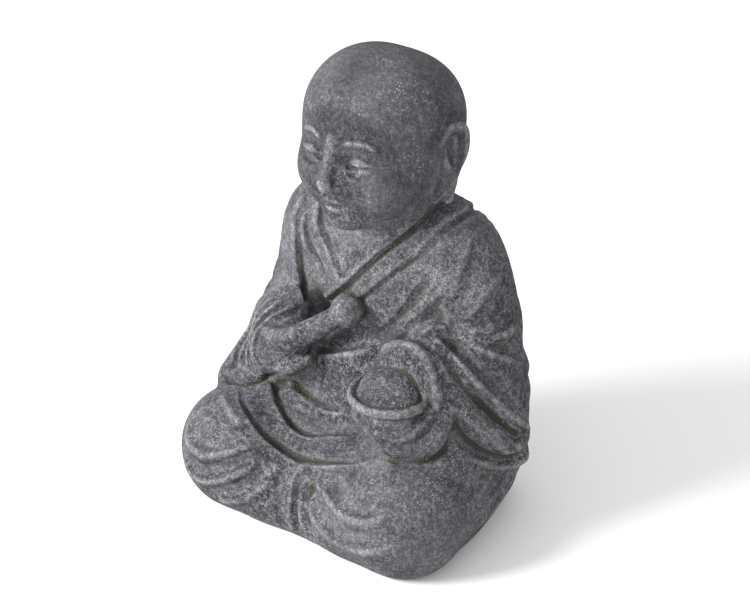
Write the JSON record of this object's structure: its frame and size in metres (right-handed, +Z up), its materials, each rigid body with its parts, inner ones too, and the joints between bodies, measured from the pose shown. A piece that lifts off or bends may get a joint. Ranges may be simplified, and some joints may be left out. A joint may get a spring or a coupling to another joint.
{
  "type": "seated monk with drum statue",
  "caption": "Seated shaven-headed monk in robes, holding a round-headed beater and a bowl-shaped drum, cast as one stone figure on a flat underside.",
  "frame": {"origin": "on the flat underside, midway between the knees and under the belly", "axes": "+Z up to the crown, the monk looks along -Y, its left hand with the drum is on the +X side"},
  "size_m": [0.3541, 0.2808, 0.5],
  "materials": {
    "dark_cast_stone": "matt, weathered, with paler rubbed ridges and fine pits"
  },
  "bodies": {
    "root": {"seated_monk_statue": "dark_cast_stone"}
  },
  "joints": []
}
